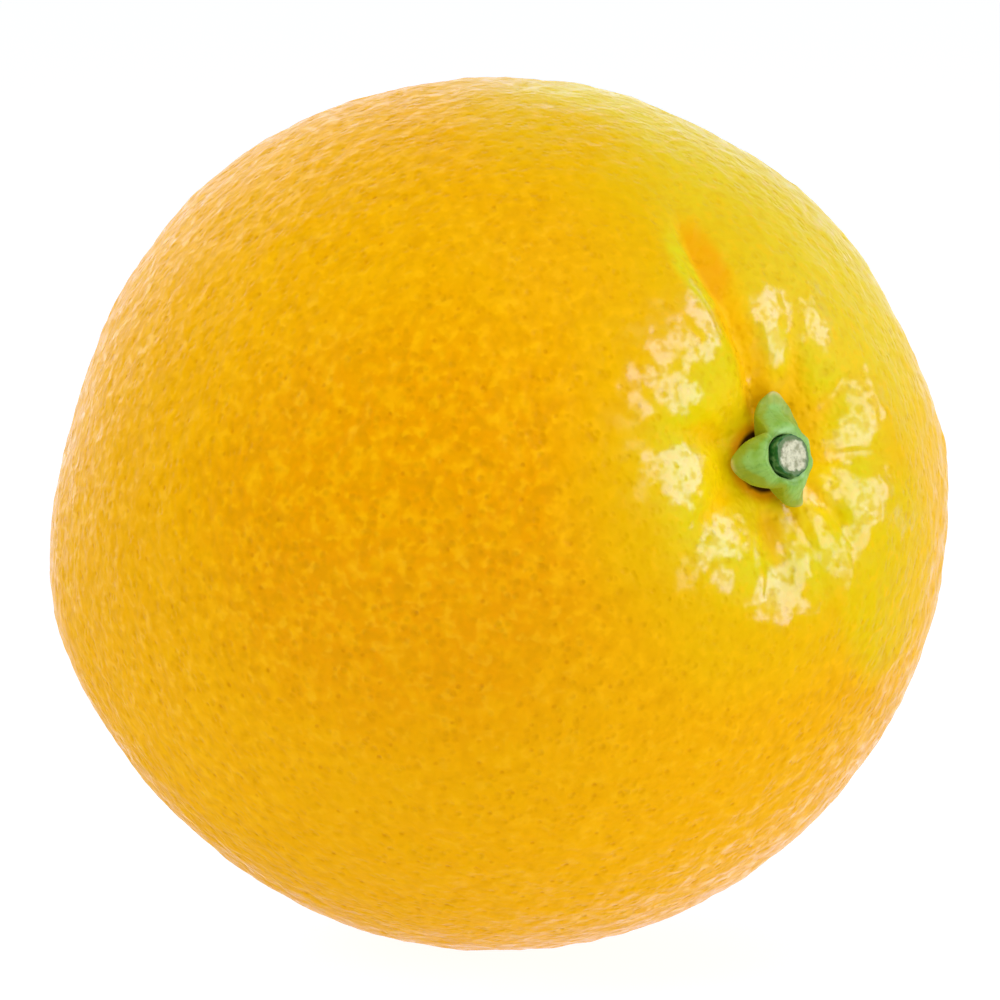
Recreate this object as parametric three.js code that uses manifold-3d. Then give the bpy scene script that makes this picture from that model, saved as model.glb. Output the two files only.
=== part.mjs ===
// A whole sweet orange lying on its side, with its calyx and the cut end of its stem still on it.
//
// The part's frame has +Z up, the table at z = 0 and the origin under the middle of the orange. The stem
// end faces -Y and points a little upwards. The fruit's own frame has its origin at the middle of the
// fruit and +Z along the stem axis, out through the stem. Colatitudes are measured from the stem end, and
// azimuths about the stem axis, from +X towards +Y. Lengths are in millimetres and angles in degrees.
import * as THREE from "three";
import { mergeVertices } from "three/addons/utils/BufferGeometryUtils.js";
import Module from "manifold-3d";

const { clamp, degToRad, radToDeg, lerp, smoothstep } = THREE.MathUtils;

// ---- The fruit ----
const EQUATOR_RADIUS = 39;
const HALF_LENGTH = 41.2; // along the stem axis, as if the basin were filled
const STEM_RISE = 13.3; // how far the stem axis points above the table
const REST_SPOT_RADIUS = 6.5; // the small flat that the orange lies on

// Low swells and hollows, each a bell about one direction, keep the fruit from being a true spheroid.
const SWELLS = [
  { colatitude: 124, azimuth: -174, width: 14, height: 1 },
  { colatitude: 120, azimuth: 152, width: 13, height: -0.65 },
  { colatitude: 100, azimuth: 113, width: 16, height: 0.35 },
  { colatitude: 65, azimuth: 63, width: 14, height: -0.45 },
  { colatitude: 50, azimuth: 0, width: 10, height: 0.35 },
  { colatitude: 51, azimuth: 23, width: 9, height: -0.35 },
  { colatitude: 114, azimuth: -128, width: 12, height: -0.15 },
];

// The peel sinks into a basin under the calyx and rises to a shoulder round it.
const BASIN = { depth: 3.3, radius: 8.2 };
const SHOULDER = { height: 0.6, radius: 13, width: 5 };

// Furrows run out from the calyx and pucker the shoulder. A furrow reaches its full depth a little way
// out from the calyx and fades before its reach. Curl is how far its line has bent, in degrees, at 10 mm
// from the turn, and spread is how much wider its clockwise bank gets with each mm outwards.
const FURROWS = [
  { azimuth: 97.5, depth: 1.8, reach: 31, width: 1.9, curl: 11, spread: 0.9 },
  { azimuth: 70, depth: 1.1, reach: 20, width: 1.9, curl: 18, spread: 0 },
  { azimuth: 32.5, depth: 1.1, reach: 18, width: 2, curl: 4, spread: 0 },
  { azimuth: -2, depth: 0.9, reach: 17, width: 1.7, curl: 0, spread: 0 },
  { azimuth: -49, depth: 0.9, reach: 16, width: 1.4, curl: -14, spread: 0 },
  { azimuth: -73, depth: 0.6, reach: 16, width: 0.7, curl: -7, spread: 0 },
  { azimuth: -93, depth: 1.3, reach: 15, width: 2.1, curl: 0, spread: 0 },
  { azimuth: -146.5, depth: 1, reach: 18, width: 2, curl: 4, spread: 0 },
  { azimuth: 166, depth: 1, reach: 18, width: 1.9, curl: 11, spread: 0 },
];
const FURROW_START = 2; // distances from the stem axis
const FURROW_FULL_DEPTH = 6;
const FURROW_TURN = 16.7; // where a curling furrow turns back
const BANK_START = 13; // the stretch over which a bank widens
const BANK_FULL = 16.5;
const FURROW_FADE = 0.35; // of the reach, where the furrow starts to run out
const FURROW_SHARPNESS = 1.5; // of the valley across a furrow: 2 is a round bell, 1 a sharp crease

// The corky dimple that the style left at the far end.
const STYLE_SCAR = { depth: 0.5, radius: 1.8 };

const FACETS_AROUND = 80;
const FACET_ROWS = 42; // from the stem end to the far end
const ROW_CROWDING = 0.7; // towards the two ends: 0 spaces the rows evenly

// ---- The calyx: a disc with a raised collar and pointed sepals, seated in the basin ----
const SEAT_GAP = 0.3; // between the calyx, the stub and the peel
// Spread is how far a sepal fans out before its tip and behind it, in the sense of growing azimuth.
const SEPALS = [
  { azimuth: 77, length: 6.1, spread: [70, 44], bulge: 1 },
  { azimuth: -178, length: 4.4, spread: [54, 66], bulge: 1.15 },
  { azimuth: -58, length: 5.1, spread: [46, 42], bulge: 1.1 },
  { azimuth: -18, length: 4, spread: [30, 30], bulge: 0.8 },
  { azimuth: 30, length: 4.5, spread: [36, 44], bulge: 0.9 },
];
const CALYX_WAIST = 2.9; // radius at the gaps between the sepals
const SEPAL_ROOT = 1; // thickness at the collar
const SEPAL_EDGE = 0.35; // thickness at the rim
const ROOT_LIFT = { height: 0.9, start: 2.3, end: 5.2 }; // its root stands off the floor of the basin
const COLLAR = { height: 3.55, radius: 2.3, foot: 4.3 }; // height above the floor of the basin
const CALYX_FACETS_AROUND = 72;
const CALYX_FACETS_ACROSS = 7;

// ---- The stub of the stem, standing in the collar ----
const STUB_RADIUS = 1.85;
const STUB_CUT_RADIUS = 1.7; // of the cut face, inside its bruised rim
const STUB_RIM = 0.2; // height of the bevel at the cut
const STUB_HEIGHT = 4.4; // above the floor of the basin
const STUB_FACETS_AROUND = 28;

const manifold = await Module();
manifold.setup();

function matte(color, roughness) {
  return new THREE.MeshStandardMaterial({ color, roughness, metalness: 0 });
}

function namedMesh(name, geometry, material) {
  const mesh = new THREE.Mesh(geometry, material);
  mesh.name = name;
  return mesh;
}

function directionTowards(colatitude, azimuth) {
  const slant = Math.sin(degToRad(colatitude));
  const turn = degToRad(azimuth);
  return new THREE.Vector3(slant * Math.cos(turn), slant * Math.sin(turn), Math.cos(degToRad(colatitude)));
}

function bell(offset, width) {
  return Math.exp(-((offset / width) ** 2));
}

// How far the furrows sink the peel, at a distance from the stem axis and an azimuth in radians.
function furrowDepth(fromAxis, azimuth) {
  let depth = 0;
  for (const furrow of FURROWS) {
    const curled = furrow.curl * ((fromAxis - FURROW_TURN) / 10) ** 2;
    const away = azimuth - degToRad(furrow.azimuth - curled);
    if (Math.cos(away) < 0) continue;
    const aside = fromAxis * Math.sin(away);
    const widened = furrow.spread * (clamp(fromAxis, BANK_START, BANK_FULL) - BANK_START);
    const width = furrow.width + (aside < 0 ? 0.6 * widened : 0);
    const across = Math.exp(-((Math.abs(aside) / width) ** FURROW_SHARPNESS));
    const grown = smoothstep(fromAxis, FURROW_START, FURROW_FULL_DEPTH);
    const faded = smoothstep(fromAxis, furrow.reach * FURROW_FADE, furrow.reach);
    depth += furrow.depth * grown * (1 - faded) * across;
  }
  return depth;
}

// The height that the basin and its shoulder add to the peel, at a distance from the stem axis.
function stemEndRelief(fromAxis) {
  const shoulder = SHOULDER.height * bell(fromAxis - SHOULDER.radius, SHOULDER.width);
  return shoulder - BASIN.depth * bell(fromAxis, BASIN.radius);
}

// The peel's distance from the middle of the fruit, along a unit vector of the fruit's frame.
function peelRadius(towards) {
  const slant = Math.hypot(towards.x, towards.y);
  let radius = 1 / Math.hypot(slant / EQUATOR_RADIUS, towards.z / HALF_LENGTH);
  for (const swell of SWELLS) {
    const away = radToDeg(towards.angleTo(directionTowards(swell.colatitude, swell.azimuth)));
    radius += swell.height * bell(away, swell.width);
  }
  const fromAxis = radius * slant;
  if (towards.z < 0) {
    return radius - STYLE_SCAR.depth * bell(fromAxis, STYLE_SCAR.radius);
  }
  const azimuth = Math.atan2(towards.y, towards.x);
  return radius + stemEndRelief(fromAxis) - furrowDepth(fromAxis, azimuth);
}

// Moves each vertex of a geometry to the place that a function gives it.
function warp(geometry, placed) {
  const positions = geometry.attributes.position;
  const vertex = new THREE.Vector3();
  for (let i = 0; i < positions.count; i += 1) {
    const moved = placed(vertex.fromBufferAttribute(positions, i));
    positions.setXYZ(i, moved.x, moved.y, moved.z);
  }
  geometry.computeVertexNormals();
  return geometry;
}

function toSolid(geometry) {
  const bare = geometry.clone();
  bare.deleteAttribute("normal");
  bare.deleteAttribute("uv");
  const merged = mergeVertices(bare);
  return new manifold.Manifold(
    new manifold.Mesh({
      numProp: 3,
      vertProperties: new Float32Array(merged.attributes.position.array),
      triVerts: new Uint32Array(merged.index.array),
    }),
  );
}

function fromSolid(solid) {
  const mesh = solid.getMesh();
  const geometry = new THREE.BufferGeometry();
  geometry.setAttribute("position", new THREE.BufferAttribute(mesh.vertProperties, 3));
  geometry.setIndex(new THREE.BufferAttribute(mesh.triVerts, 1));
  geometry.computeVertexNormals();
  return geometry;
}

const STEM_AXIS = new THREE.Vector3(0, 0, 1);

// Turns the fruit's frame into the part's frame: the stem axis leans over to -Y.
const LYING_TURN = degToRad(90 - STEM_RISE);

// How high the middle of the fruit is above the rest spot: the spheroid's own height on that side, less
// the cap that the flat takes off.
function restHeight() {
  const rise = degToRad(STEM_RISE);
  const halfHeight = Math.hypot(EQUATOR_RADIUS * Math.cos(rise), HALF_LENGTH * Math.sin(rise));
  const cap = REST_SPOT_RADIUS ** 2 / (2 * EQUATOR_RADIUS);
  return halfHeight - cap;
}

// The peel is a globe whose rows of facets crowd towards its ends, drawn out to the peel's own radius in
// each direction, laid on its side and cut flat by the table.
function fruit(middleHeight) {
  const globe = new THREE.SphereGeometry(1, FACETS_AROUND, FACET_ROWS).rotateX(Math.PI / 2);
  warp(globe, (vertex) => {
    const even = vertex.angleTo(STEM_AXIS) / Math.PI;
    const crowded = lerp(even, smoothstep(even, 0, 1), ROW_CROWDING);
    const azimuth = radToDeg(Math.atan2(vertex.y, vertex.x));
    const towards = directionTowards(180 * crowded, azimuth);
    return towards.multiplyScalar(peelRadius(towards));
  });
  globe.rotateX(LYING_TURN);
  const tableSize = 4 * EQUATOR_RADIUS;
  const table = new THREE.BoxGeometry(tableSize, tableSize, tableSize);
  table.translate(0, 0, -middleHeight - tableSize / 2);
  const lying = toSolid(globe).subtract(toSolid(table));
  return namedMesh("fruit", fromSolid(lying), matte("#f0a80c", 0.42));
}

// The height of the peel under the calyx, in the fruit's frame.
function basinHeight(fromAxis) {
  return HALF_LENGTH * Math.sqrt(1 - (fromAxis / EQUATOR_RADIUS) ** 2) + stemEndRelief(fromAxis);
}

// How far the calyx reaches from the stem axis, at an azimuth in degrees.
function calyxReach(azimuth) {
  let reach = CALYX_WAIST;
  for (const sepal of SEPALS) {
    const away = THREE.MathUtils.euclideanModulo(azimuth - sepal.azimuth + 180, 360) - 180;
    const inward = Math.max(0, 1 - Math.abs(away) / sepal.spread[away < 0 ? 0 : 1]);
    reach = Math.max(reach, lerp(CALYX_WAIST, sepal.length, inward ** sepal.bulge));
  }
  return reach;
}

// The calyx starts as a plain square ring. A point's distance from the axis beyond 1 says how far out it
// belongs, from the hole to the rim, and its height says how far up, from the under face to the top.
function calyx() {
  const section = [];
  for (let step = 0; step <= CALYX_FACETS_ACROSS; step += 1) {
    section.push(new THREE.Vector2(1 + step / CALYX_FACETS_ACROSS, 0));
  }
  for (let step = CALYX_FACETS_ACROSS; step >= 0; step -= 1) {
    section.push(new THREE.Vector2(1 + step / CALYX_FACETS_ACROSS, 1));
  }
  section.push(section[0].clone());
  const ring = new THREE.LatheGeometry(section, CALYX_FACETS_AROUND).rotateX(Math.PI / 2);
  warp(ring, (vertex) => {
    const across = Math.hypot(vertex.x, vertex.y) - 1;
    const azimuth = Math.atan2(vertex.y, vertex.x);
    const hole = STUB_RADIUS + SEAT_GAP;
    const fromAxis = lerp(hole, calyxReach(radToDeg(azimuth)), across);
    const rooted = 1 - smoothstep(fromAxis, ROOT_LIFT.start, ROOT_LIFT.end);
    const seat = basinHeight(fromAxis) + SEAT_GAP + ROOT_LIFT.height * rooted;
    const collar = 1 - smoothstep(fromAxis, COLLAR.radius, COLLAR.foot);
    const leaf = seat + lerp(SEPAL_ROOT, SEPAL_EDGE, across);
    const top = lerp(leaf, basinHeight(0) + COLLAR.height, collar);
    const height = lerp(seat, top, vertex.z);
    return vertex.set(fromAxis * Math.cos(azimuth), fromAxis * Math.sin(azimuth), height);
  });
  return namedMesh("calyx", ring, matte("#7fb646", 0.6));
}

function stemStub() {
  const foot = basinHeight(0) + SEAT_GAP;
  const cut = basinHeight(0) + STUB_HEIGHT;
  const section = [
    new THREE.Vector2(0, foot),
    new THREE.Vector2(STUB_RADIUS, foot),
    new THREE.Vector2(STUB_RADIUS, cut - STUB_RIM),
    new THREE.Vector2(STUB_CUT_RADIUS, cut),
    new THREE.Vector2(0, cut),
  ];
  const stub = new THREE.LatheGeometry(section, STUB_FACETS_AROUND).rotateX(Math.PI / 2);
  return namedMesh("stem_stub", stub, matte("#b9b592", 0.8));
}

// ---- The whole orange ----
const middleHeight = restHeight();

const stemEnd = new THREE.Group();
stemEnd.rotation.x = LYING_TURN;
stemEnd.add(calyx(), stemStub());

const lying = new THREE.Group();
lying.add(fruit(middleHeight), stemEnd);

// The origin goes under the middle of the orange's box.
const middle = new THREE.Box3().setFromObject(lying, true).getCenter(new THREE.Vector3());
lying.position.set(-middle.x, -middle.y, middleHeight);

const orange = new THREE.Group();
orange.add(lying);

export default orange;
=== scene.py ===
"""A whole sweet orange lying on its side, with its calyx and the cut end of its stem still on it."""

import math

import bmesh
import bpy
import numpy as np
from mathutils import Matrix, Vector, noise
from mathutils.kdtree import KDTree


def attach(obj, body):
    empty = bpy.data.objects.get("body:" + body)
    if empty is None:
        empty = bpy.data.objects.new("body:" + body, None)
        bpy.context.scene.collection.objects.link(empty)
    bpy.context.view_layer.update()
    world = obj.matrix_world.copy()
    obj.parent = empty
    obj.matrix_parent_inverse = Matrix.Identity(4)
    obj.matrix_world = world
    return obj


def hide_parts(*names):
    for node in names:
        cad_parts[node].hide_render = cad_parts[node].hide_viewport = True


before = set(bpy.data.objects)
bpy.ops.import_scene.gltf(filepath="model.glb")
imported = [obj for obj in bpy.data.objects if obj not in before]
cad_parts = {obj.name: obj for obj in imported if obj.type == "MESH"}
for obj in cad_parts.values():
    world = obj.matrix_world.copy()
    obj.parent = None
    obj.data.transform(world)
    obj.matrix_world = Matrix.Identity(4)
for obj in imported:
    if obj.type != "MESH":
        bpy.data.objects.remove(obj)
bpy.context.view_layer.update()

# ---- The fruit ----
# The whole orange, peel and flesh grown as one body. The rind is waxy and pitted by its oil glands. The
# stem end sinks into a basin, and furrows run out from it and pucker the shoulder. The fruit's own frame
# has its origin in the middle and +Z along the stem axis; the fruit lies with that axis leaning over to -Y.
mm = 0.001
EQUATOR_RADIUS = 39 * mm
HALF_LENGTH = 41.2 * mm  # along the stem axis, as if the basin were filled
STEM_RISE = math.radians(13.3)  # of the stem axis above the table
REST_SPOT_RADIUS = 6.5 * mm
REST_SPOT_EDGE = 0.12 * mm  # how softly the peel rolls onto the flat
MIDDLE_SHIFT = 0.23 * mm  # the origin is under the middle of the whole length, stem and all

# Low swells and hollows: colatitude from the stem and azimuth about it in degrees, width in degrees, height
SWELLS = [
    (124, -174, 14, 1.0 * mm),
    (120, 152, 13, -0.65 * mm),
    (100, 113, 16, 0.35 * mm),
    (65, 63, 14, -0.45 * mm),
    (50, 0, 10, 0.35 * mm),
    (51, 23, 9, -0.35 * mm),
    (114, -128, 12, -0.15 * mm),
]
BASIN_DEPTH, BASIN_RADIUS = 3.3 * mm, 8.2 * mm
SHOULDER_HEIGHT, SHOULDER_RADIUS, SHOULDER_WIDTH = 0.6 * mm, 13 * mm, 5 * mm

# Furrows: azimuth in degrees, depth, reach and width in mm, how they curl, in degrees at 10 mm from the turn,
# and how much wider the clockwise bank gets with each mm outwards
FURROWS = [
    (97.5, 1.8, 31, 1.9, 11, 0.9),
    (70, 1.1, 20, 1.9, 18, 0),
    (32.5, 1.1, 18, 2.0, 4, 0),
    (-2, 0.9, 17, 1.7, 0, 0),
    (-49, 0.9, 16, 1.4, -14, 0),
    (-73, 0.6, 16, 0.7, -7, 0),
    (-93, 1.3, 15, 2.1, 0, 0),
    (-146.5, 1.0, 18, 2.0, 4, 0),
    (166, 1.0, 18, 1.9, 11, 0),
]
FURROW_TURN = 16.7 * mm  # from the stem axis, where a curling furrow turns back
FURROW_START, FURROW_FULL = 2 * mm, 6 * mm  # from the stem axis
FURROW_FADE = 0.35  # of the reach, where a furrow starts to run out
FURROW_SHARPNESS = 1.5  # 2 is a round valley, 1 a sharp crease
BANK_START, BANK_FULL = 13 * mm, 16.5 * mm  # from the stem axis, the stretch over which a bank widens
BANK_FADE, BANK_END = 18 * mm, 23.5 * mm
VALLEY_SHARE = 0.6  # of a bank's widening, that the valley beside it takes up
# In mm, how wide a bank has grown where it starts to show and where it is all there, then its edge by the
# crease and its edge past the widening, and the two edges of the strip across the crease from it
BANK_SHOWS = 0.3, 1.2
BANK_BY_CREASE, BANK_FAR_EDGE = (-0.2, 0.4), (-2.0, 0.6)
STRIP_BY_CREASE, STRIP_FAR_EDGE = (0.0, 0.9), (1.4, 4.0)
PLEATS_AROUND = 15.0  # per turn in radians, the fine pleats that run out between the furrows
PLEAT_RUN = 6 * mm  # outwards, before they have changed
PLEAT_HEIGHT, PLEAT_RADIUS, PLEAT_WIDTH = 0.14 * mm, 9 * mm, 5 * mm
STYLE_SCAR_DEPTH, STYLE_SCAR_RADIUS = 0.5 * mm, 1.8 * mm
STEM_HALF = 20 * mm  # beyond the middle, where all that belongs to the stem end is all there
# Where the wax on the shoulder has been rubbed to a shine: azimuth in degrees, distance from the stem axis,
# half its breadth and half its length outwards in mm, and how shiny
SHINY_PADS = [
    (142, 12.2, 2.9, 2.4, 1.0),
    (139, 9.6, 1.3, 1.6, 0.9),
    (131, 15.0, 1.6, 1.6, 0.9),
    (121, 15.0, 0.9, 2.6, 0.8),
    (109, 13.6, 1.8, 2.4, 0.9),
    (117, 11.2, 1.6, 0.7, 0.8),
    (152, 15.2, 1.2, 1.2, 0.6),
    (186, 10.2, 2.7, 2.5, 1.0),
    (182, 13.2, 0.8, 1.2, 0.5),
    (-131, 8.8, 2.2, 3.2, 0.9),
    (-110, 7.4, 0.4, 2.6, 0.5),
    (-93, 11.4, 2.9, 2.3, 0.9),
    (-82, 9.4, 1.4, 2.2, 0.7),
    (-60, 8.6, 1.9, 3.6, 0.6),
    (-47, 10.8, 1.6, 2.6, 0.6),
    (-28, 8.0, 1.9, 3.4, 0.8),
    (-20, 11.4, 2.0, 2.2, 0.7),
    (-24, 15.5, 1.2, 2.0, 0.5),
    (6, 9.4, 1.5, 3.0, 0.9),
    (20, 12.4, 2.6, 2.4, 0.6),
    (32, 10.4, 1.0, 1.8, 0.5),
    (79, 12.6, 1.9, 3.4, 0.9),
    (56, 13.8, 1.7, 3.2, 0.8),
    (69, 13.0, 0.5, 1.5, 0.5),
    (160, 15.5, 1.4, 1.8, 0.3),
    (171, 14.6, 1.0, 2.0, 0.3),
    (-171, 14.8, 1.8, 1.3, 0.3),
    (-139, 14.0, 1.8, 1.2, 0.4),
]
PAD_RAGGED = [(2.4 * mm, 1.0), (0.9 * mm, 0.5)]  # wavelength, and height as a share of a pad's own size
PAD_EDGE = 0.8, 1.3  # of its own size, where it begins to fade and where it is gone

LYING = Matrix.Rotation(math.radians(90) - STEM_RISE, 4, "X")
half_height = math.hypot(EQUATOR_RADIUS * math.cos(STEM_RISE), HALF_LENGTH * math.sin(STEM_RISE))
MIDDLE = Vector((0, MIDDLE_SHIFT, half_height - REST_SPOT_RADIUS**2 / (2 * EQUATOR_RADIUS)))
STEM_AXIS = LYING @ Vector((0, 0, 1))


def bell(offset, width):
    return np.exp(-((offset / width) ** 2))


def smooth_step(x, low, high):
    t = np.clip((x - low) / (high - low), 0, 1)
    return t * t * (3 - 2 * t)


def rough(places, wavelength):
    """Smooth random heights, about -0.5 to 0.5, at an array of places."""
    return np.array([noise.noise(Vector(place) / wavelength) for place in places])


def turned(from_axis, azimuth, height):
    """Places in the fruit's frame, from their distance from the stem axis, azimuth and height."""
    sides = np.broadcast_arrays(from_axis * np.cos(azimuth), from_axis * np.sin(azimuth), height)
    return np.stack(sides, axis=-1)


def direction(colatitude, azimuth):
    colatitude, azimuth = math.radians(colatitude), math.radians(azimuth)
    return turned(math.sin(colatitude), azimuth, math.cos(colatitude))


def stem_end_relief(from_axis):
    shoulder = SHOULDER_HEIGHT * bell(from_axis - SHOULDER_RADIUS, SHOULDER_WIDTH)
    return shoulder - BASIN_DEPTH * bell(from_axis, BASIN_RADIUS)


def furrows(from_axis, azimuth):
    """The depth of the furrows, and 1 on a wide bank, -1 beside the crease across from it."""
    depth, bank = 0, 0
    for degrees, deep, reach, width, curl, spread in FURROWS:
        line = np.radians(degrees - curl * ((from_axis - FURROW_TURN) / (10 * mm)) ** 2)
        away = azimuth - line
        aside = from_axis * np.sin(away) / mm
        wide = spread * (np.clip(from_axis, BANK_START, BANK_FULL) - BANK_START) / mm
        grown = smooth_step(from_axis, FURROW_START, FURROW_FULL)
        faded = smooth_step(from_axis, reach * mm * FURROW_FADE, reach * mm)
        half_width = width + np.where(aside < 0, VALLEY_SHARE * wide, 0)
        valley = np.exp(-((np.abs(aside) / half_width) ** FURROW_SHARPNESS))
        ahead = np.cos(away) > 0
        depth = depth + np.where(ahead, deep * mm * grown * (1 - faded) * valley, 0)
        if spread:
            along = smooth_step(wide, *BANK_SHOWS) * (1 - smooth_step(from_axis, BANK_FADE, BANK_END))
            clockwise = smooth_step(-aside, *BANK_BY_CREASE)
            clockwise *= 1 - smooth_step(-aside - wide, *BANK_FAR_EDGE)
            across_from = smooth_step(aside, *STRIP_BY_CREASE) * (1 - smooth_step(aside, *STRIP_FAR_EDGE))
            bank = bank + np.where(ahead, along * (clockwise - across_from), 0)
    return depth, bank


def shine(from_axis, azimuth, places):
    """How shiny the wax is, 0 to 1."""
    shiny = 0
    ragged = sum(height * rough(places, wavelength) for wavelength, height in PAD_RAGGED)
    for degrees, out, breadth, length, gloss in SHINY_PADS:
        away = azimuth - math.radians(degrees)
        aside = from_axis * np.sin(away) / (breadth * mm)
        outwards = (from_axis * np.cos(away) - out * mm) / (length * mm)
        inside = 1 - smooth_step(np.hypot(aside, outwards) + ragged, *PAD_EDGE)
        shiny = np.maximum(shiny, gloss * inside)
    return shiny


def peel_radius(towards):
    """The smooth peel's distance from the middle, along unit vectors of the fruit's frame."""
    x, y, z = towards.T
    slant = np.hypot(x, y)
    radius = 1 / np.hypot(slant / EQUATOR_RADIUS, z / HALF_LENGTH)
    for colatitude, azimuth, width, height in SWELLS:
        away = np.degrees(np.arccos(np.clip(towards @ direction(colatitude, azimuth), -1, 1)))
        radius = radius + height * bell(away, width)
    from_axis = radius * slant
    stem_end = stem_end_relief(from_axis) - furrows(from_axis, np.arctan2(y, x))[0]
    far_end = -STYLE_SCAR_DEPTH * bell(from_axis, STYLE_SCAR_RADIUS)
    return radius + np.where(z > 0, stem_end, far_end)


def vertices_of(mesh):
    places = np.empty(len(mesh.vertices) * 3)
    mesh.vertices.foreach_get("co", places)
    return places.reshape(-1, 3)


def spin(bm, turns):
    """Sweeps an outline round the axis into a closed skin, its faces in the same order each run."""
    bmesh.ops.spin(
        bm, geom=bm.verts[:] + bm.edges[:], cent=(0, 0, 0), axis=(0, 0, 1),
        angle=2 * math.pi, steps=turns, use_merge=True,
    )
    bmesh.ops.remove_doubles(bm, verts=bm.verts[:], dist=0.001 * mm)
    bmesh.ops.recalc_face_normals(bm, faces=bm.faces[:])
    bm.verts.index_update()
    bm.faces.sort(key=lambda face: face.verts[0].index * len(bm.verts) + face.verts[2].index)


def new_piece(name, bm):
    """Turns a finished bmesh into an object at the origin."""
    mesh = bpy.data.meshes.new(name)
    bm.to_mesh(mesh)
    bm.free()
    piece = bpy.data.objects.new(name, mesh)
    bpy.context.scene.collection.objects.link(piece)
    mesh.polygons.foreach_set("use_smooth", [True] * len(mesh.polygons))
    return piece


def place(piece, places):
    piece.data.vertices.foreach_set("co", places.ravel())
    piece.data.update()


def note(piece, name, values, domain="POINT"):
    """Keeps a number or a vector for each vertex or face, for the materials to read."""
    kind, field = ("FLOAT", "value") if values.ndim == 1 else ("FLOAT_VECTOR", "vector")
    piece.data.attributes.new(name, kind, domain).data.foreach_set(field, values.ravel())


def to_part(places):
    """From the fruit's frame to the part's."""
    return places @ np.array(LYING.to_3x3()).T + np.array(MIDDLE)


# A cube's faces are cut into a grid and blown out to the peel. The grid is drawn together towards the stem
# end, where the finest folds are.
CUTS = 127
STEM_CROWDING, ENDS_CROWDING = 0.2, 0.075
peel_bm = bmesh.new()
bmesh.ops.create_cube(peel_bm, size=2)
bmesh.ops.subdivide_edges(peel_bm, edges=peel_bm.edges[:], cuts=CUTS, use_grid_fill=True)
peel = new_piece("peel", peel_bm)

grid = np.tan(vertices_of(peel.data) * math.pi / 4)
grid = grid / np.linalg.norm(grid, axis=1, keepdims=True)
colatitude = np.arccos(np.clip(grid[:, 2], -1, 1))
colatitude = colatitude - STEM_CROWDING * np.sin(colatitude) - ENDS_CROWDING * np.sin(2 * colatitude)
around = np.arctan2(grid[:, 1], grid[:, 0])
towards = turned(np.sin(colatitude), around, np.cos(colatitude))
surface = towards * peel_radius(towards)[:, None]
from_axis = np.hypot(surface[:, 0], surface[:, 1])
stem_side = smooth_step(surface[:, 2], 0, STEM_HALF)

# The large oil glands: pits all over the rind, with a puckered skin between them.
GLAND_SPACING = 2.2 * mm
ROW_GAP = 0.866  # of the spacing, between rows that are set as close as they go
GLAND_JITTER = 0.35 * mm
GLAND_PIT_RADIUS = 0.55 * mm
GLAND_PIT_DEPTH = 0.12 * mm
SHALLOWEST_GLAND = 0.35  # of that depth
RIPPLES = [(1.6 * mm, 0.1 * mm), (3.2 * mm, 0.13 * mm), (8 * mm, 0.13 * mm)]  # wavelength, height
chance = np.random.default_rng(7)

gland_count = int(4 * math.pi * EQUATOR_RADIUS**2 / (GLAND_SPACING**2 * ROW_GAP))
steps = np.arange(gland_count) + 0.5
gland_z = 1 - 2 * steps / gland_count
gland_turn = steps * math.pi * (3 - math.sqrt(5))
gland_towards = turned(np.sqrt(1 - gland_z**2), gland_turn, gland_z)
gland_towards += chance.normal(0, GLAND_JITTER / EQUATOR_RADIUS, gland_towards.shape)
gland_towards /= np.linalg.norm(gland_towards, axis=1, keepdims=True)
glands = gland_towards * peel_radius(gland_towards)[:, None]
gland_strength = chance.uniform(0, 1, gland_count)

tree = KDTree(gland_count)
for index, gland in enumerate(glands):
    tree.insert(gland, index)
tree.balance()
nearest = np.array([tree.find(spot)[1] for spot in surface])
distance = np.linalg.norm(surface - glands[nearest], axis=1)

deepness = SHALLOWEST_GLAND + (1 - SHALLOWEST_GLAND) * gland_strength[nearest]
relief = -GLAND_PIT_DEPTH * deepness * bell(distance, GLAND_PIT_RADIUS)
for wavelength, height in RIPPLES:
    relief += height * rough(surface, wavelength)
pleats = rough(turned(PLEATS_AROUND, around, from_axis / PLEAT_RUN), 1)
relief += PLEAT_HEIGHT * stem_side * bell(from_axis - PLEAT_RADIUS, PLEAT_WIDTH) * pleats
surface = surface + towards * relief[:, None]

lying = to_part(surface)
lying[:, 2] = REST_SPOT_EDGE * np.logaddexp(0, lying[:, 2] / REST_SPOT_EDGE)
place(peel, lying)
fold, bank = furrows(from_axis, around)
note(peel, "fold", stem_side * fold / mm)
note(peel, "bank", stem_side * bank)
note(peel, "shine", stem_side * shine(from_axis, around, surface))

# Each face also keeps the place and the strength of its own gland.
centres = np.empty(len(peel.data.polygons) * 3)
peel.data.polygons.foreach_get("center", centres)
standing = LYING.inverted()
nearest = np.array([tree.find(standing @ (Vector(spot) - MIDDLE))[1] for spot in centres.reshape(-1, 3)])
gland_relief = 1 - (GLAND_PIT_DEPTH / np.linalg.norm(glands, axis=1))[:, None]
note(peel, "gland", to_part(glands * gland_relief)[nearest], "FACE")
note(peel, "gland_strength", gland_strength[nearest], "FACE")


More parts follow.
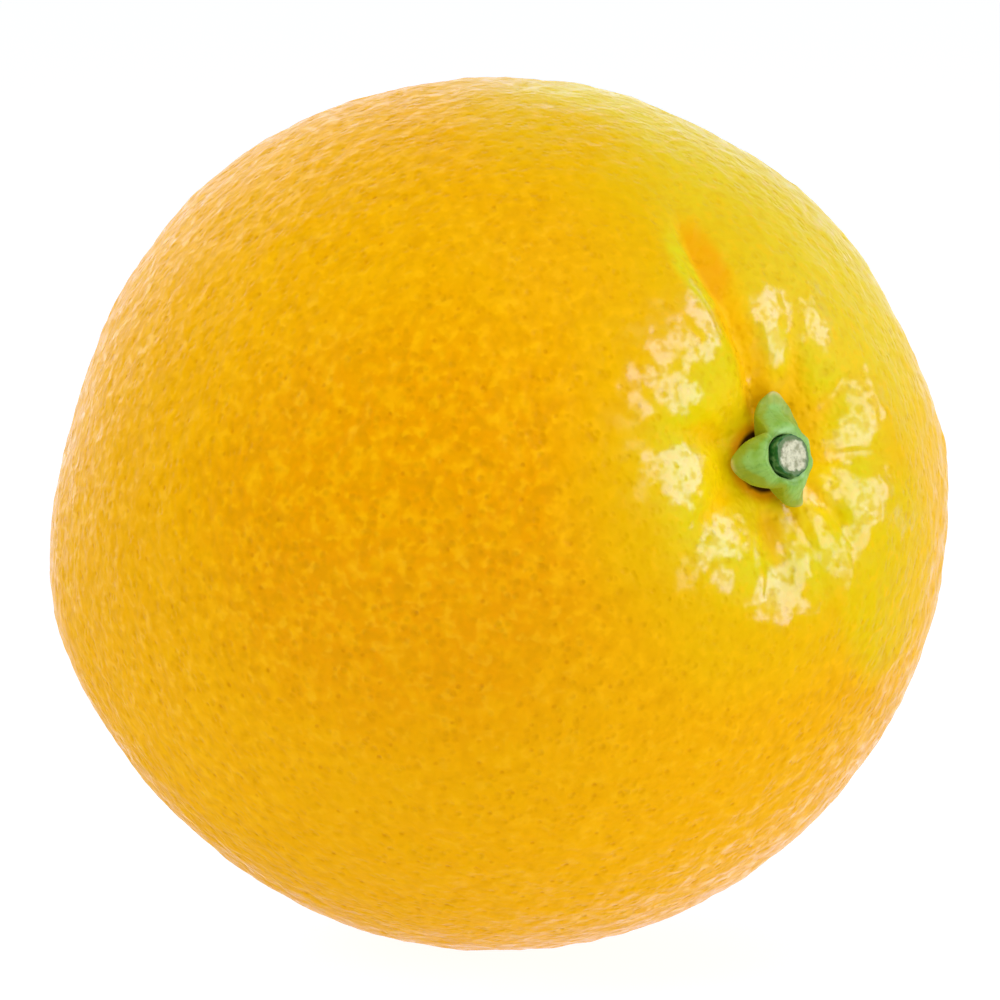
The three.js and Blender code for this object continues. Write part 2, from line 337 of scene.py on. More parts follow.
class Paint:
    """A number, colour or vector that a material works out: one socket of its nodes."""

    def __init__(self, tree, socket):
        self.tree = tree
        self.socket = socket

    def node(self, kind, settings=None, output=0, **inputs):
        """Adds a node and gives one of its outputs. Inputs are named, with _ for a space, or in0, in1 ..."""
        made = self.tree.nodes.new(kind)
        for name, setting in (settings or {}).items():
            setattr(made, name, setting)
        for name, value in inputs.items():
            numbered = name[:2] == "in" and name[2:].isdigit()
            socket = made.inputs[int(name[2:]) if numbered else name.replace("_", " ")]
            if isinstance(value, Paint):
                self.tree.links.new(value.socket, socket)
            else:
                socket.default_value = value
        return Paint(self.tree, made.outputs[output])

    def maths(self, operation, *values):
        inputs = {f"in{place}": value for place, value in enumerate(values)}
        return self.node("ShaderNodeMath", {"operation": operation}, **inputs)

    def __add__(self, other):
        return self.maths("ADD", self, other)

    def __radd__(self, other):
        return self.maths("ADD", other, self)

    def __sub__(self, other):
        return self.maths("SUBTRACT", self, other)

    def __rsub__(self, other):
        return self.maths("SUBTRACT", other, self)

    def __mul__(self, other):
        return self.maths("MULTIPLY", self, other)

    def __rmul__(self, other):
        return self.maths("MULTIPLY", other, self)

    def larger(self, other):
        return self.maths("MAXIMUM", self, other)

    def vector(self, operation, other=None, output="Vector"):
        inputs = {"in0": self} if other is None else {"in0": self, "in1": other}
        return self.node("ShaderNodeVectorMath", {"operation": operation}, output, **inputs)

    def along(self, direction):
        """How far this vector goes in a direction."""
        return self.vector("DOT_PRODUCT", direction, "Value")

    def noise(self, waves, detail=2.0, roughness=0.5):
        """Smooth random patches, by the waves in a metre."""
        sizes = {"Scale": waves, "Detail": detail, "Roughness": roughness}
        return self.node("ShaderNodeTexNoise", output="Fac", Vector=self, **sizes)

    def cells(self, across):
        """How far it is to the middle of the nearest cell, by the cells in a metre."""
        return self.node("ShaderNodeTexVoronoi", output="Distance", Vector=self, Scale=across)

    def kept(self, name, output="Fac"):
        """What a piece keeps for each vertex under a name."""
        return self.node("ShaderNodeAttribute", {"attribute_name": name}, output)

    def ramp(self, low, high, start=0.0, end=1.0):
        """Goes smoothly from start, where this is low, to end, where it is high."""
        ends = {"From_Min": low, "From_Max": high, "To_Min": start, "To_Max": end}
        return self.node("ShaderNodeMapRange", {"interpolation_type": "SMOOTHSTEP"}, Value=self, **ends)

    def mix(self, first, second):
        """A colour between two, by this."""
        return self.node("ShaderNodeMix", {"data_type": "RGBA"}, 2, in0=self, in6=first, in7=second)


def colour(red, green, blue):
    """A colour from the 0 to 255 values of a colour chart, as the linear values that a node holds."""
    shares = [c / 255 for c in (red, green, blue)]
    return tuple(s / 12.92 if s <= 0.04045 else ((s + 0.055) / 1.055) ** 2.4 for s in shares) + (1,)


def new_material(name, **constants):
    """A material, its Principled shader and a Paint to start its nodes from."""
    material = bpy.data.materials.new(name)
    material.use_nodes = True
    shader = material.node_tree.nodes["Principled BSDF"]
    for socket, value in constants.items():
        shader.inputs[socket.replace("_", " ")].default_value = value
    return material, shader, Paint(material.node_tree, None)


def feed(shader, socket, paint):
    paint.tree.links.new(paint.socket, shader.inputs[socket])


def feed_bump(shader, height):
    """Raises the surface by a height in metres."""
    bump = height.node("ShaderNodeBump", output="Normal", Strength=1.0, Distance=1.0, Height=height)
    feed(shader, "Normal", bump)


ORANGE = colour(240, 173, 0)
DEEP_ORANGE = colour(238, 160, 0)
YELLOW = colour(235, 184, 0)
GREENISH = colour(222, 208, 0)
FOLD_PAINTED_SHADE = colour(252, 190, 0)
BANK_PAINTED_SHADE = colour(242, 167, 0)
STRIP_PAINTED_LIGHT = colour(228, 216, 24)
PALE_SKIN_AND_SHEEN = colour(238, 210, 48)
PEACH_PAINTED_REFLECTION = colour(250, 188, 40)
RIPE = colour(230, 148, 0)
SCAR_HALO = colour(196, 148, 24)
SCAR_CORK = colour(168, 118, 48)
BASIN_PAINTED_LIGHT = colour(248, 210, 0)
DALE_PAINTED_SHADE = colour(216, 150, 0)
CREST_PAINTED_HIGHLIGHT = colour(255, 194, 10)
PORE = colour(204, 124, 0)
SCAR_AND_SHADOW_BROWN = colour(66, 38, 4)
CALYX_FOOT_SHADE = colour(228, 130, 0)

# The ways that the coloured flanks face. The sunny one is the deepest orange, and a leaf kept one greenish.
SUNNY_FLANK = Vector((-0.77, -0.63, 0.10))
PALE_FLANK = Vector((0.61, -0.42, 0.67))
LEAFY_FLANK = Vector((0.36, -0.93, -0.04))
# The flank towards the right holds a painted reflection: a peach tint, as of the white room seen at a
# glancing angle.
REFLECTING_FLANK = Vector((0.79, -0.61, 0.03))
RIPE_FLANK = Vector((0.6, 0.78, -0.14))
SMOOTH_FLANK = Vector((-0.49, -0.64, -0.58))
# How near to its way each colour starts and is full, where 1 is the middle of the flank
SUNNY_COLOUR, SUNNY_GRAIN = (0.82, 0.98), (0.78, 0.97)
PALE_YELLOW, PALE_GREEN, PALE_AND_SHEEN_COLOUR = (0.46, 0.72), (0.65, 0.9), (0.66, 0.92)
LEAFY_COLOUR, REFLECTION_COLOUR = (0.96, 0.985), (0.82, 0.98)
RIPE_COLOUR, UNRIPE_COLOURS = (0.02, 0.5), (0.5, -0.15)
SMOOTH_SKIN = 0.74, 0.96
# The distances from the stem axis where the colours of the rings round it start and are full
SHOULDER_YELLOW, SHOULDER_STRAYS = (23 * mm, 14 * mm), 9 * mm
SHOULDER_GREEN = 16 * mm, 9 * mm
BASIN_LIGHT_RING = 10 * mm, 6 * mm
CALYX_FOOT_SHADE_RING = 4.0 * mm, 2.9 * mm
CALYX_SHADOW_RING = 2.95 * mm, 2.5 * mm
DULL_SHOULDER = 27 * mm, 19 * mm  # where the skin has no glints of its own
# At the far end: where it starts and is all there along the stem axis, and the rings of the style's scar
FAR_END = -30 * mm, -36 * mm
HALO_RING, CORK_RING, EYE_RING = (4.4 * mm, 2.4 * mm), (2.5 * mm, 1.9 * mm), (1.1 * mm, 0.6 * mm)
SCAR_RAGGED = 1.2 * mm
# How fine the patterns of the skin are, in waves or cells to the metre
CLOUD_WAVES, PATCH_WAVES, MOTTLE_WAVES = 32.0, 70.0, 420.0
CRINKLE_WAVES, LUMP_WAVES, SQUIGGLE_WAVES = 1000.0, 680.0, 460.0
PIT_CELLS, PIT_GROUP_WAVES, DIMPLE_CELLS = 1150.0, 350.0, 820.0
PORE_EDGE, PORE_HEART = 0.3 * mm, 0.06 * mm  # from the middle of its gland
SQUIGGLE_ROUNDNESS = 0.003  # of the crease where a squiggle turns over
# How deep or high they are in the bump
CRINKLE_HEIGHT, PIT_SHARE = 0.17 * mm, 0.6
SQUIGGLE_HEIGHT, PORE_HEIGHT = 0.38 * mm, 0.06 * mm
DULLEST_COAT = 0.015

rind, rind_shader, start = new_material(
    "orange_rind",
    Specular_IOR_Level=0.02,
    IOR=1.5,
    Subsurface_Weight=0.06,
    Subsurface_Radius=(1.0, 0.5, 0.1),
    Subsurface_Scale=1.2 * mm,
    Coat_Roughness=0.18,
    Coat_IOR=1.5,
)
spot = start.node("ShaderNodeTexCoord", output="Object")
from_middle = spot.vector("SUBTRACT", MIDDLE)
along_stem = from_middle.along(STEM_AXIS)
off_axis = from_middle.vector("CROSS_PRODUCT", STEM_AXIS).vector("LENGTH", output="Value")
outward = from_middle.vector("NORMALIZE")
stem_end = along_stem.ramp(0, STEM_HALF)
far_end = along_stem.ramp(*FAR_END)
patches = spot.noise(PATCH_WAVES, 3.0)
mottle = spot.noise(MOTTLE_WAVES, 2.0, 0.6)

# Large glands show as dots, small ones between them as fine pits, and the skin over them is crinkled.
gland_gap = spot.vector("DISTANCE", start.kept("gland", "Vector"), "Value")
gland_force = start.kept("gland_strength")
pore = gland_gap.ramp(PORE_EDGE, PORE_HEART) * gland_force.ramp(0.3, 1.0)
pit = spot.cells(PIT_CELLS).ramp(0.5, 0.05) * spot.noise(PIT_GROUP_WAVES, 1.0).ramp(0.25, 0.65)
crinkle = spot.noise(CRINKLE_WAVES, 1.5, 0.5)
lump = spot.noise(LUMP_WAVES, 1.0)
squiggle = spot.noise(SQUIGGLE_WAVES, 1.5) - 0.5
squiggle = squiggle.maths("SQRT", squiggle * squiggle + SQUIGGLE_ROUNDNESS)

# Where the colours of the flanks and of the stem end lie. Their edges drift.
drift = (patches - 0.5) * 0.2 + (spot.noise(CLOUD_WAVES, 1.0) - 0.5) * 0.3
sunny = outward.along(SUNNY_FLANK)
pale = outward.along(PALE_FLANK) + drift
ripeness = outward.along(RIPE_FLANK) + drift * 0.5
leafy = outward.along(LEAFY_FLANK) + (patches - 0.5) * 0.03
reflecting = outward.along(REFLECTING_FLANK) + drift * 0.4
smooth = outward.along(SMOOTH_FLANK).ramp(*SMOOTH_SKIN)
ripe, unripe = ripeness.ramp(*RIPE_COLOUR), ripeness.ramp(*UNRIPE_COLOURS)
yellowed = (off_axis + (patches - 0.5) * SHOULDER_STRAYS).ramp(*SHOULDER_YELLOW) * stem_end
yellowed = yellowed.larger(pale.ramp(*PALE_YELLOW) * unripe)
greened = off_axis.ramp(*SHOULDER_GREEN) * stem_end
greened = greened.larger(pale.ramp(*PALE_GREEN) * unripe * 0.65)
greened = greened.larger(leafy.ramp(*LEAFY_COLOUR) * 0.6)

# The coats of colour, from the ground up, each with the share that it hides of what is under it
ground = sunny.ramp(*SUNNY_COLOUR).mix(ORANGE, DEEP_ORANGE)
ground = (ripe * 0.85).mix(ground, RIPE)
ground = yellowed.mix(ground, YELLOW)
ground = (greened * 0.9).mix(ground, GREENISH)
# Pale skin on the pale flank, with a whitish cast in its colour that is a painted sheen.
ground = (pale.ramp(*PALE_AND_SHEEN_COLOUR) * unripe * 0.75).mix(ground, PALE_SKIN_AND_SHEEN)
# Painted reflection: a peach tint on the flank towards the right.
ground = (reflecting.ramp(*REFLECTION_COLOUR) * unripe * 0.7).mix(ground, PEACH_PAINTED_REFLECTION)
# Painted light: the basin round the stem is painted a lighter yellow, in place of light reaching into it.
ground = (off_axis.ramp(*BASIN_LIGHT_RING) * stem_end * 0.8).mix(ground, BASIN_PAINTED_LIGHT)
# Painted shade: the furrow floors are painted a deeper orange, in place of the light bounced about in them.
ground = start.kept("fold").ramp(0.45, 1.3, 0.0, 0.8).mix(ground, FOLD_PAINTED_SHADE)
ground = (mottle.ramp(0.4, 0.7) * 0.15).mix(ground, YELLOW)
# Painted light and shade: the grain's crests are painted lighter as highlights, its dales and pits darker as
# shade.
# The grain of the skin is faint where it is yellow, ripe or smooth, and coarse on the sunny flank.
evened = (1 - 0.5 * yellowed) * (1 - 0.6 * ripe) * (1 - 0.35 * smooth)
coarse = sunny.ramp(*SUNNY_GRAIN, 0.18, 0.36) * evened
ground = (lump.ramp(0.5, 0.3) * coarse).mix(ground, DALE_PAINTED_SHADE)
ground = (lump.ramp(0.5, 0.7) * coarse).mix(ground, CREST_PAINTED_HIGHLIGHT)
ground = (crinkle.ramp(0.5, 0.28) * evened * 0.3).mix(ground, DALE_PAINTED_SHADE)
ground = (crinkle.ramp(0.52, 0.72) * evened * 0.5).mix(ground, CREST_PAINTED_HIGHLIGHT)
# Painted light and shade on the long furrow: its wide bank, turned from the light, is painted deeper orange
# as shade, and the strip across the crease, turned to it, is painted lighter and greener as light.
ground = (start.kept("bank").ramp(0, 0.8) * (0.8 + (crinkle - 0.5) * 0.6)).mix(ground, BANK_PAINTED_SHADE)
ground = (start.kept("bank").ramp(0, -0.8) * (0.75 + (lump - 0.5) * 1.2)).mix(ground, STRIP_PAINTED_LIGHT)
# Painted shade in the fine pits.
ground = (pit * (1 - 0.6 * yellowed) * sunny.ramp(*SUNNY_GRAIN, 0.26, 0.48)).mix(ground, DALE_PAINTED_SHADE)
ground = (pore * (1 - 0.85 * yellowed) * 0.38).mix(ground, PORE)
# Painted shade round the foot of the calyx and painted shadow under it, then the scar at the far end
ground = (off_axis.ramp(*CALYX_FOOT_SHADE_RING) * stem_end * 0.7).mix(ground, CALYX_FOOT_SHADE)
ground = (off_axis.ramp(*CALYX_SHADOW_RING) * stem_end).mix(ground, SCAR_AND_SHADOW_BROWN)
scarred = off_axis + (patches + mottle - 1) * SCAR_RAGGED
ground = (scarred.ramp(*HALO_RING) * far_end * 0.6).mix(ground, SCAR_HALO)
ground = (scarred.ramp(*CORK_RING) * far_end * 0.9).mix(ground, SCAR_CORK)
ground = (scarred.ramp(*EYE_RING) * far_end * 0.7).mix(ground, SCAR_AND_SHADOW_BROWN)
feed(rind_shader, "Base Color", ground)
feed(rind_shader, "Roughness", mottle.ramp(0.3, 0.7, 0.4, 0.5))

# The wax shines on its pads, broken up by dimples and crinkles, and glints a little on the crests elsewhere.
dimple = spot.cells(DIMPLE_CELLS).ramp(0.08, 0.34, 0.3, 1.0)
waxed = start.kept("shine") * dimple * crinkle.ramp(0.36, 0.54, 0.4, 1.0)
glint = crinkle.ramp(0.5, 0.66, 0.0, 0.25) * (1 - off_axis.ramp(*DULL_SHOULDER) * stem_end)
feed(rind_shader, "Coat Weight", waxed.larger(glint).ramp(0, 1, DULLEST_COAT, 1.0))
height = (crinkle - pit * PIT_SHARE) * CRINKLE_HEIGHT - squiggle * SQUIGGLE_HEIGHT - pore * PORE_HEIGHT
feed_bump(rind_shader, height)

peel.data.materials.append(rind)
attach(peel, "root")
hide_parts("fruit")

# ---- The calyx ----
# The green button left of the flower: thick sepals, two of them no more than points, grown together in a
# disc that rises to a collar round the stem. It is seated in the basin, and stands off the peel in between.
SEPALS = [  # azimuth in degrees, length in mm, spread each way in degrees, 1 for a straight-sided point
    (77, 6.1, 44, 70, 1.0),
    (-178, 4.5, 66, 54, 1.15),
    (-58, 5.1, 42, 46, 1.1),
    (-18, 4.0, 30, 30, 0.8),
    (30, 4.5, 44, 36, 0.9),
]
CALYX_WAIST = 2.8 * mm  # radius at the gaps between the sepals
STUB_RADIUS = 1.8 * mm
CALYX_HOLE = STUB_RADIUS + 0.14 * mm
CALYX_LIFT, ROOT_LIFT = 0.15 * mm, 1.0 * mm  # off the peel
ROOT_LIFT_START, ROOT_LIFT_END = 2.3 * mm, 5.2 * mm  # where it comes down from its root to the sepals
TIP_BLUNTNESS = 0.06  # radians
SEPAL_WANDER = 0.05  # radians that it may lean to a side
RIM_CROWDING = 1.6  # draws the points together towards the rim
UNDERCUT = 0.3 * mm  # how far the lower edge stays back
SEPAL_ROOT, SEPAL_EDGE = 1.0 * mm, 0.45 * mm  # thickness
LIP_START = 0.88  # of the way out, where the edge of a sepal begins to round over
COLLAR_HEIGHT, COLLAR_RADIUS, COLLAR_FOOT = 3.55 * mm, 2.3 * mm, 4.3 * mm
# Down the middle of each sepal, from its root's distance from the stem axis to its tip's
KEEL_HEIGHT, KEEL_WIDTH = 0.15 * mm, 1.1 * mm
KEEL_ROOT, KEEL_TIP = 2 * mm, 6 * mm
SEAM_DEPTH, SEAM_WIDTH = 0.12 * mm, 0.12  # between one sepal and the next
RIB_HEIGHT, RIBS_AROUND = 0.14 * mm, 5.0
RIB_STRIPES = 3, 3, 0.7  # how much finer than the ribs their stripes of colour are, each way
# Where the keels rise and sink, and the seams and ribs rise, as shares of the way out
KEEL_RISES, KEEL_SINKS, SEAM_RISES, RIB_RISES = (0.1, 0.4), (0.6, 1), (0.25, 0.8), (0.1, 0.35)
LUMP_HEIGHT, LUMP_LENGTH = 0.22 * mm, 1.1 * mm
COLLAR_LIP, COLLAR_LIP_WIDTH = 0.12 * mm, 0.06
SEPAL_TURNS = 288
SEPAL_CUTS = 39


def basin_height(from_axis):
    """The height of the bare peel under the calyx, in the fruit's frame."""
    return HALF_LENGTH * np.sqrt(1 - (from_axis / EQUATOR_RADIUS) ** 2) + stem_end_relief(from_axis)


def turn_from(degrees, azimuth):
    return (azimuth - np.radians(degrees) + math.pi) % (2 * math.pi) - math.pi


calyx_bm = bmesh.new()
corners = [calyx_bm.verts.new(corner) for corner in ((1, 0, 0), (2, 0, 0.5), (1, 0, 1))]
under, over, hole = [calyx_bm.edges.new((corners[i], corners[(i + 1) % 3])) for i in range(3)]
bmesh.ops.subdivide_edges(calyx_bm, edges=[under, over], cuts=SEPAL_CUTS)
bmesh.ops.subdivide_edges(calyx_bm, edges=[hole], cuts=7)
spin(calyx_bm, SEPAL_TURNS)
calyx = new_piece("calyx_star", calyx_bm)

# The ring is drawn out to the sepals. A point's distance from the axis says how far out it belongs, and its
# height says how far up, from the under face to the top.
ring = vertices_of(calyx.data)
across = np.clip(np.hypot(ring[:, 0], ring[:, 1]) - 1, 0, 1)
upward = np.clip((ring[:, 2] - across / 2) / np.maximum(1 - across, 0.001), 0, 1)
azimuth = np.arctan2(ring[:, 1], ring[:, 0])
azimuth = azimuth + SEPAL_WANDER * rough(turned(2, azimuth, across), 1)
across = 1 - (1 - across) ** RIM_CROWDING

reach = np.full(len(ring), CALYX_WAIST)
pointed = np.zeros(len(ring))
keel = np.zeros(len(ring))
for degrees, length, spread, clockwise_spread, bulge in SEPALS:
    away = turn_from(degrees, azimuth)
    softened = np.sqrt(away**2 + TIP_BLUNTNESS**2) - TIP_BLUNTNESS
    inward = np.maximum(0, 1 - softened / np.radians(np.where(away > 0, spread, clockwise_spread))) ** bulge
    reach = np.maximum(reach, CALYX_WAIST + (length * mm - CALYX_WAIST) * inward)
    pointed = np.maximum(pointed, inward)
    keel = np.maximum(keel, bell(away * (KEEL_ROOT + (KEEL_TIP - KEEL_ROOT) * across), KEEL_WIDTH))
seam = bell(pointed, SEAM_WIDTH)

lip = np.sqrt(1 - np.clip((across - LIP_START) / (1 - LIP_START), 0, 1) ** 2)
upward = 0.5 + (upward - 0.5) * lip
from_axis = CALYX_HOLE + (reach - CALYX_HOLE) * across - UNDERCUT * across**2 * (1 - upward)
rooted = 1 - smooth_step(from_axis, ROOT_LIFT_START, ROOT_LIFT_END)
bottom = basin_height(from_axis) + CALYX_LIFT + ROOT_LIFT * rooted
thickness = SEPAL_ROOT + (SEPAL_EDGE - SEPAL_ROOT) * across
collar = 1 - smooth_step(from_axis, COLLAR_RADIUS, COLLAR_FOOT)
top = bottom + thickness + (basin_height(0) + COLLAR_HEIGHT - bottom - thickness) * collar
top += KEEL_HEIGHT * keel * smooth_step(across, *KEEL_RISES) * (1 - smooth_step(across, *KEEL_SINKS))
top -= SEAM_DEPTH * seam * smooth_step(across, *SEAM_RISES)
ribs = turned(RIBS_AROUND, azimuth, across)
top += RIB_HEIGHT * rough(ribs, 1) * smooth_step(across, *RIB_RISES)
top += LUMP_HEIGHT * rough(turned(from_axis, azimuth, 0), LUMP_LENGTH)
top -= COLLAR_LIP * bell(across, COLLAR_LIP_WIDTH)
height = bottom + (top - bottom) * upward
place(calyx, to_part(turned(from_axis, azimuth, height)))
note(calyx, "across", across)
note(calyx, "pointed", pointed)
note(calyx, "keel", keel)
note(calyx, "rib", 0.5 + rough(ribs * RIB_STRIPES, 1))

SEPAL_GREEN = colour(130, 172, 44)
SEPAL_MINT_AND_HIGHLIGHT = colour(156, 196, 98)
SEPAL_OLIVE = colour(156, 164, 10)
SEPAL_SHADE = colour(78, 130, 36)
SEPAL_TIP = colour(206, 188, 100)
COLLAR_PAINTED_HIGHLIGHT = colour(172, 214, 120)
# The green has clouds and specks, by the waves in a metre and by their height in the bump.
SEPAL_CLOUDS, SEPAL_SPECKS = 650.0, 3200.0
SEPAL_CLOUD_HEIGHT, SEPAL_SPECK_HEIGHT = 0.1 * mm, 0.03 * mm
COLLAR_HIGHLIGHT_BAND, TIP_START = (0.2, 0.08), (0.85, 0.97)  # as shares of the way out
sepal, sepal_shader, start = new_material(
    "green_calyx",
    Specular_IOR_Level=0.3,
    Roughness=0.55,
    Subsurface_Weight=0.1,
    Subsurface_Radius=(0.4, 1.0, 0.2),
    Subsurface_Scale=0.5 * mm,
)
spot = start.node("ShaderNodeTexCoord", output="Object")
out = start.kept("across")
point = start.kept("pointed")
stripe = start.kept("rib")
cloud = spot.noise(SEPAL_CLOUDS, 2.0)
speck = spot.noise(SEPAL_SPECKS, 2.0, 0.6)
# The mint is partly random clouds and partly a painted highlight down the middle of each sepal.
middle = start.kept("keel") * out.ramp(0.15, 0.4) * out.ramp(0.85, 0.6)
blotch = cloud.ramp(0.38, 0.62)
green = (middle * 0.4 + blotch * 0.6).mix(SEPAL_GREEN, SEPAL_MINT_AND_HIGHLIGHT)
green = ((out - middle * 0.3 - blotch * 0.2).ramp(0.3, 0.7) * 0.8).mix(green, SEPAL_OLIVE)
green = (stripe.ramp(0.4, 0.2) * 0.15).mix(green, SEPAL_SHADE)
# Painted highlight: a light mint line along the lip of the collar round the stem.
green = (out.ramp(*COLLAR_HIGHLIGHT_BAND) * 0.8).mix(green, COLLAR_PAINTED_HIGHLIGHT)
green = (point.ramp(*TIP_START) * out.ramp(*TIP_START) * 0.8).mix(green, SEPAL_TIP)
green = (speck.ramp(0.55, 0.75) * 0.3).mix(green, SEPAL_SHADE)
feed(sepal_shader, "Base Color", green)
feed(sepal_shader, "Roughness", speck.ramp(0.3, 0.7, 0.45, 0.65))
feed_bump(sepal_shader, speck * SEPAL_SPECK_HEIGHT + cloud * SEPAL_CLOUD_HEIGHT)
calyx.data.materials.append(sepal)
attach(calyx, "root")
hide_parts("calyx")

# ---- The stub of the stem ----
# What is left of the stem where the orange was clipped off: a short woody peg in the collar, with green
# bark round it, a bruised rim and a pale, mottled cut face.
STUB_CUT_RADIUS = 1.68 * mm
STUB_RIM = 0.16 * mm  # how far down the bruised edge goes
STUB_HEIGHT = 4.4 * mm  # above the floor of the basin
STUB_LIFT = 0.3 * mm  # of its foot off the floor of the basin
CUT_TILT = 0.05  # the clippers went through a little aslant
CUT_DISH = 0.12 * mm
CUT_STEP = 0.02 * mm  # below the top, where the cut face begins
CUT_ROUGHNESS = [(0.7 * mm, 0.14 * mm), (0.3 * mm, 0.08 * mm)]  # wavelength, height
STUB_TURNS = 144
SIDE_START = 0.75  # of the radius, where what follows the bark begins
SQUEEZE, OVALNESS, SQUEEZES_AROUND = 0.08, 0.03, 1.3
BARK_RIDGE, RIDGES_AROUND, RIDGE_RUN = 0.12 * mm, 4, 3 * mm
stub_foot = basin_height(0) + STUB_LIFT
stub_top = basin_height(0) + STUB_HEIGHT
stub_bm = bmesh.new()
outline = [(0, stub_foot), (STUB_RADIUS, stub_foot), (STUB_RADIUS, stub_top - STUB_RIM)]
outline += [(STUB_CUT_RADIUS, stub_top), (0, stub_top)]
corners = [stub_bm.verts.new((radius, 0, height)) for radius, height in outline]
sides = [stub_bm.edges.new(pair) for pair in zip(corners, corners[1:])]
for side, cuts in zip(sides, (6, 24, 5, 26)):
    bmesh.ops.subdivide_edges(stub_bm, edges=[side], cuts=cuts)
spin(stub_bm, STUB_TURNS)
stub = new_piece("stem_peg", stub_bm)

peg = vertices_of(stub.data)
radius = np.hypot(peg[:, 0], peg[:, 1])
azimuth = np.arctan2(peg[:, 1], peg[:, 0])
on_top = smooth_step(peg[:, 2], stub_top - STUB_RIM, stub_top - CUT_STEP)
at_side = smooth_step(radius, SIDE_START * STUB_RADIUS, STUB_RADIUS)
squeeze = SQUEEZE * rough(turned(SQUEEZES_AROUND, azimuth, 0) + 5, 1) - OVALNESS * np.cos(2 * azimuth)
flutes = BARK_RIDGE * rough(turned(RIDGES_AROUND, azimuth, peg[:, 2] / RIDGE_RUN), 1)
height = peg[:, 2] - CUT_DISH * on_top * (1 - (radius / STUB_CUT_RADIUS) ** 2)
height += on_top * CUT_TILT * peg[:, 0]
for wavelength, bump in CUT_ROUGHNESS:
    height += on_top * bump * rough(peg, wavelength)
place(stub, to_part(turned(radius * (1 + squeeze * at_side) + flutes * at_side, azimuth, height)))
note(stub, "cut", on_top * (1 - smooth_step(radius, 0.96 * STUB_CUT_RADIUS, 1.02 * STUB_CUT_RADIUS)))
note(stub, "outward", radius / STUB_CUT_RADIUS)

BARK = colour(34, 92, 26)
BARK_PALE = colour(96, 132, 70)
CUT_WOOD = colour(216, 214, 184)
CUT_GREY = colour(158, 158, 124)
CUT_BROWN = colour(124, 112, 80)
CAMBIUM = colour(104, 126, 78)
WOOD_CLOUDS, WOOD_SPECKS = 1300.0, 4200.0  # waves in a metre
WOOD_CLOUD_HEIGHT, WOOD_SPECK_HEIGHT = 0.2 * mm, 0.03 * mm
BARK_RING = 0.72, 0.88  # of the cut's radius, where the wood turns into the ring under the bark
wood, wood_shader, start = new_material("cut_stem_wood", Specular_IOR_Level=0.25, Roughness=0.75)
spot = start.node("ShaderNodeTexCoord", output="Object")
cut = start.kept("cut")
out = start.kept("outward")
cloud = spot.noise(WOOD_CLOUDS, 2.0, 0.55)
speck = spot.noise(WOOD_SPECKS, 2.0, 0.6)
bark = cloud.ramp(0.45, 0.7).mix(BARK, BARK_PALE)
face = cloud.ramp(0.42, 0.66).mix(CUT_WOOD, CUT_GREY)
face = (speck.ramp(0.5, 0.75) * 0.4).mix(face, CUT_BROWN)
face = (out + (cloud - 0.5) * 0.5).ramp(*BARK_RING).mix(face, CAMBIUM)
feed(wood_shader, "Base Color", cut.mix(bark, face))
feed(wood_shader, "Roughness", cut.ramp(0, 1, 0.55, 0.8))
feed_bump(wood_shader, cloud * WOOD_CLOUD_HEIGHT + speck * WOOD_SPECK_HEIGHT)
stub.data.materials.append(wood)
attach(stub, "root")
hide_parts("stem_stub")

# ---- The table and the backdrop ----
# A plain white sweep that glows a little, as on a light table, so wide that its edge is never seen.
SWEEP_SIZE = 6.0
sweep_bm = bmesh.new()
bmesh.ops.create_grid(sweep_bm, x_segments=1, y_segments=1, size=SWEEP_SIZE / 2)
sweep = new_piece("sweep", sweep_bm)
card, *_ = new_material(
    "white_sweep",
    Base_Color=(0.16, 0.16, 0.16, 1),
    Roughness=0.9,
    Specular_IOR_Level=0.0,
    Emission_Color=(1, 1, 1, 1),
    Emission_Strength=0.93,
)
sweep.data.materials.append(card)
sweep.visible_glossy = False

# ---- The camera ----
# A long lens, a little above the table, on the stem side.
CAMERA_AZIMUTH = math.radians(-37.6)
CAMERA_ELEVATION = math.radians(8)
CAMERA_DISTANCE = 750 * mm
CAMERA_LENS, CAMERA_SENSOR = 301.7, 36  # mm
AIM_RIGHT, AIM_UP = 0.06 * mm, 1.25 * mm  # of the fruit's middle
back = Vector((
    math.sin(CAMERA_AZIMUTH) * math.cos(CAMERA_ELEVATION),
    -math.cos(CAMERA_AZIMUTH) * math.cos(CAMERA_ELEVATION),
    math.sin(CAMERA_ELEVATION),
))
right = Vector((math.cos(CAMERA_AZIMUTH), math.sin(CAMERA_AZIMUTH), 0))
up = back.cross(right)
aim = MIDDLE + right * AIM_RIGHT + up * AIM_UP
camera = bpy.data.objects.new("camera", bpy.data.cameras.new("camera"))
camera.data.lens = CAMERA_LENS
camera.data.sensor_width = CAMERA_SENSOR
camera.data.clip_start = 0.01
camera.data.clip_end = 20
camera.location = aim + back * CAMERA_DISTANCE
camera.rotation_mode = "QUATERNION"
camera.rotation_quaternion = (-back).to_track_quat("-Z", "Y")
bpy.context.scene.collection.objects.link(camera)
bpy.context.scene.camera = camera
bpy.context.scene.view_settings.view_transform = "Standard"

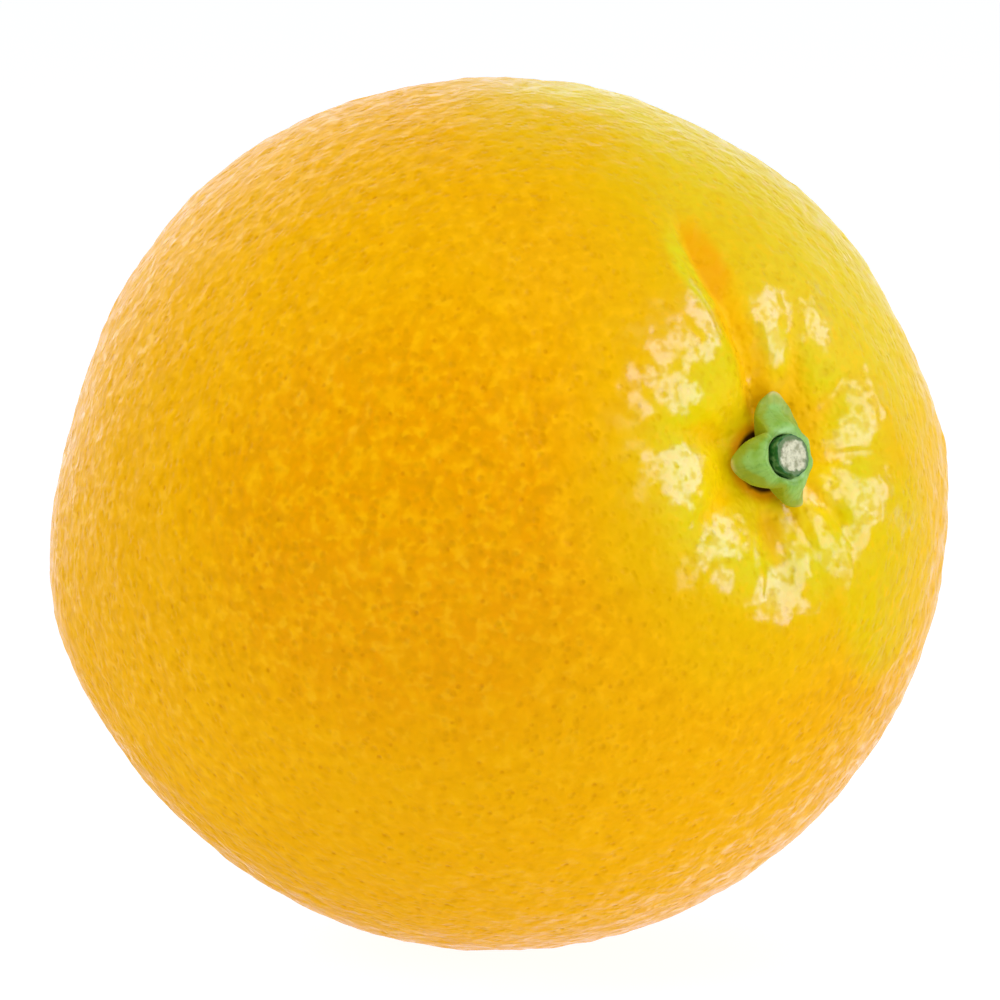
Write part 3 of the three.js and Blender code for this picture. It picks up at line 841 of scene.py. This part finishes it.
# ---- The light ----
# A white room lights the orange evenly from all round. A soft box on the right, one at the upper left and
# one above give it a little shape.
def soft_box(name, towards_it, distance, size, power, gloss=True, glow=True, tint=(1, 1, 1)):
    """A square lamp that looks at the orange from a place given along the camera's right, up and back."""
    lamp = bpy.data.lights.new(name, "AREA")
    lamp.size = size
    lamp.energy = power
    lamp.color = tint
    holder = bpy.data.objects.new(name, lamp)
    out = (right * towards_it[0] + up * towards_it[1] + back * towards_it[2]).normalized()
    holder.location = MIDDLE + out * distance
    holder.rotation_mode = "QUATERNION"
    holder.rotation_quaternion = out.to_track_quat("Z", "Y")
    holder.visible_camera = False
    holder.visible_glossy = gloss
    holder.visible_diffuse = glow
    bpy.context.scene.collection.objects.link(holder)


soft_box("key_gloss", (0.90, 0.28, 0.34), 0.7, 0.9, 17.0, glow=False, tint=(0.5, 0.62, 1.0))
soft_box("right_glow", (0.90, 0.1, 0.30), 0.7, 0.42, 1.35, gloss=False)
soft_box("left_glow", (-0.80, 0.48, 0.36), 0.9, 0.5, 3.5, gloss=False)
soft_box("front_glow", (0.4, 0.25, 0.88), 1.0, 1.0, 3.7, gloss=False)
soft_box("top_glow", (0.2, 0.9, 0.35), 0.9, 0.6, 3.8, gloss=False)

room = bpy.data.worlds.new("white_room")
bpy.context.scene.world = room
room.use_nodes = True
background = room.node_tree.nodes["Background"]
start = Paint(room.node_tree, None)
ray = start.node("ShaderNodeTexCoord", output="Generated")


def wall_towards(across, above):
    """How far a ray points towards a place on the walls, given along the camera's right and up."""
    return ray.along((right * across + up * above).normalized())


COOL_WALL, WHITE = (0.5, 0.64, 1.0, 1), (1, 1, 1, 1)
backwards = ray.along(back)
behind, far_behind = backwards.ramp(0.0, -0.6), backwards.ramp(-0.35, -0.9)
upper_left = wall_towards(-0.94, 0.34).ramp(0.3, 0.8)
lower_right = wall_towards(0.57, -0.82).ramp(0.3, 0.8)
lower_left = wall_towards(-0.64, -0.77).ramp(0.1, 0.6)
far_right = wall_towards(1, 0.15).ramp(0.2, 0.65)
walls = behind * (0.35 - 0.3 * lower_left + 2.1 * upper_left + 0.7 * lower_right)
walls = (walls + far_behind * (3.5 - 3.3 * lower_left + 1.5 * lower_right)) * (1 - 0.5 * far_right)
seen = start.node("ShaderNodeLightPath", output="Is Camera Ray")
level = seen + (1 - seen) * walls
start.tree.links.new(level.socket, background.inputs["Strength"])
start.tree.links.new(seen.mix(COOL_WALL, WHITE).socket, background.inputs["Color"])
